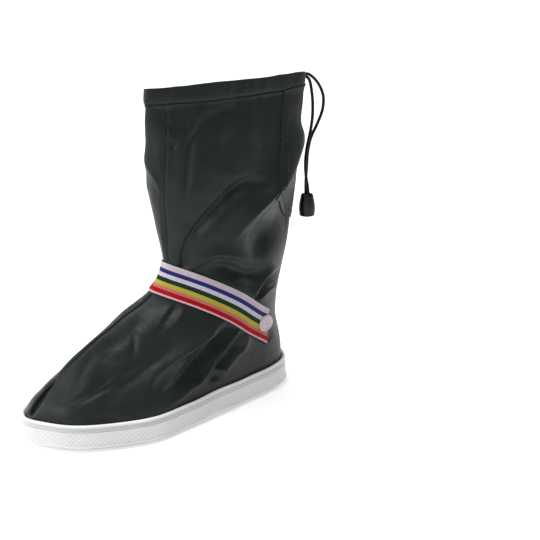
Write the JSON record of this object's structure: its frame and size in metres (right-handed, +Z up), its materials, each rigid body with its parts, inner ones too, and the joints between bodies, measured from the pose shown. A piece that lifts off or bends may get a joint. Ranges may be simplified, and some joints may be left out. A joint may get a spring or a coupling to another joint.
{
  "type": "rain overshoe",
  "caption": "Tall waterproof winter overshoe for the left foot: slack coated cloth boot, thin moulded sole, striped instep strap and a collar drawstring.",
  "frame": {"origin": "on the floor in the middle of the heel's tread", "axes": "+Z up, -Y towards the toe, +X towards the wearer's left, which is the outer side of this left shoe"},
  "size_m": [0.1131, 0.3439, 0.3264],
  "materials": {
    "sole": "pale translucent soft PVC, fine moulded texture",
    "cloth": "coated nylon, soft sheen",
    "flap": "coated nylon over hook and loop",
    "strap": "woven elastic with lengthwise stripes",
    "stud": "pale translucent plastic",
    "cord": "braided black cord",
    "stopper": "glossy black"
  },
  "bodies": {
    "root": {"outsole": "sole", "upper": "cloth", "back_flap": "flap", "instep_strap": "strap", "stud_outer": "stud", "stud_inner": "stud", "drawcord_near": "cord", "drawcord_far": "cord", "cord_stopper": "stopper"}
  },
  "joints": []
}
